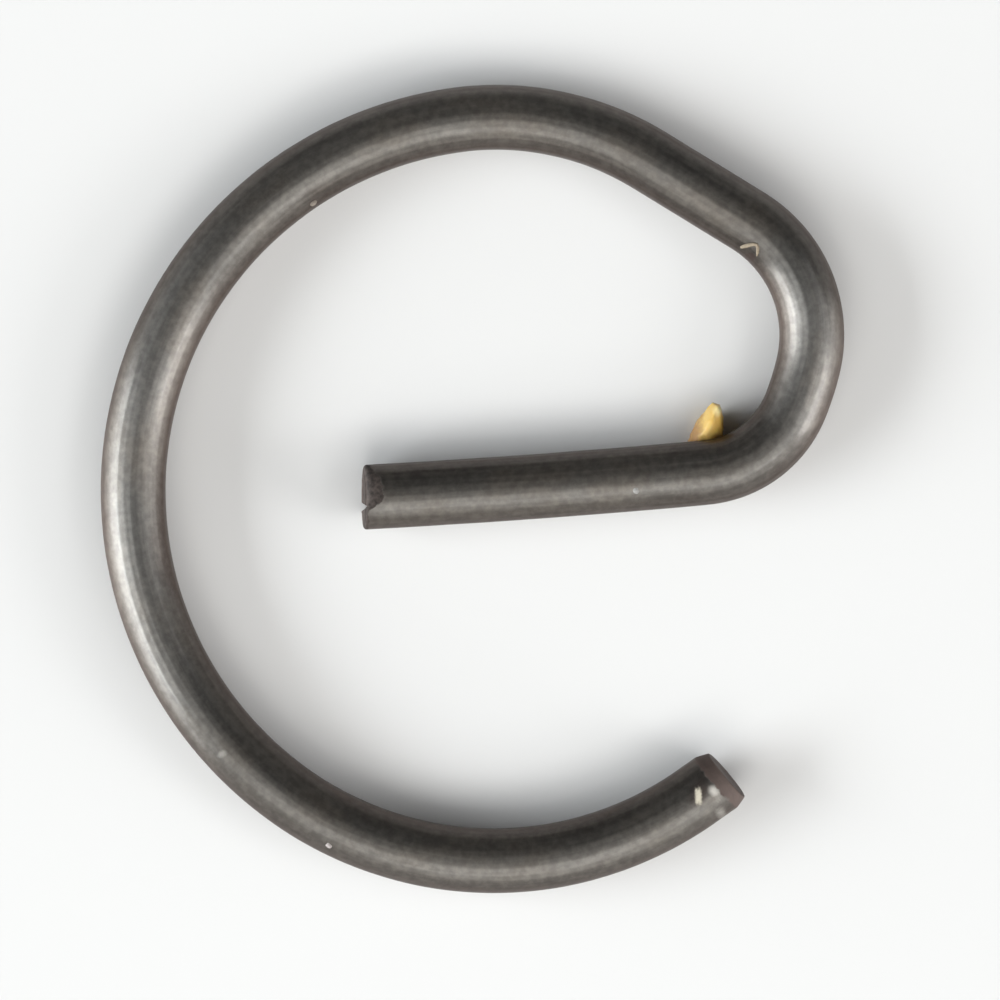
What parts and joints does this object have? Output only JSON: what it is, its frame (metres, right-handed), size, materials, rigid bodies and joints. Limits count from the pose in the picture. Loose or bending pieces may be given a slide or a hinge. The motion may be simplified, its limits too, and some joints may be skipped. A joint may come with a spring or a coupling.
{
  "type": "piston pin circlip",
  "caption": "Open round-wire circlip: a spring ring with a tang bent in across its middle, which snaps into a bore groove to keep a piston pin in place.",
  "frame": {"origin": "centre of the ring's round arc, halfway through the wire's thickness", "axes": "+Z along the ring's axis, so that the clip lies flat; +X along the tang from its free end to its bend, within a few degrees; +Y towards the side of the tang that the knuckle is on"},
  "size_m": [0.0103, 0.0112, 0.0008],
  "materials": {
    "blackened_steel": "drawn spring steel wire, oil-tempered to a dark satin grey, bare brown-grey steel on the sheared ends"
  },
  "bodies": {
    "root": {"circlip": "blackened_steel"}
  },
  "joints": []
}
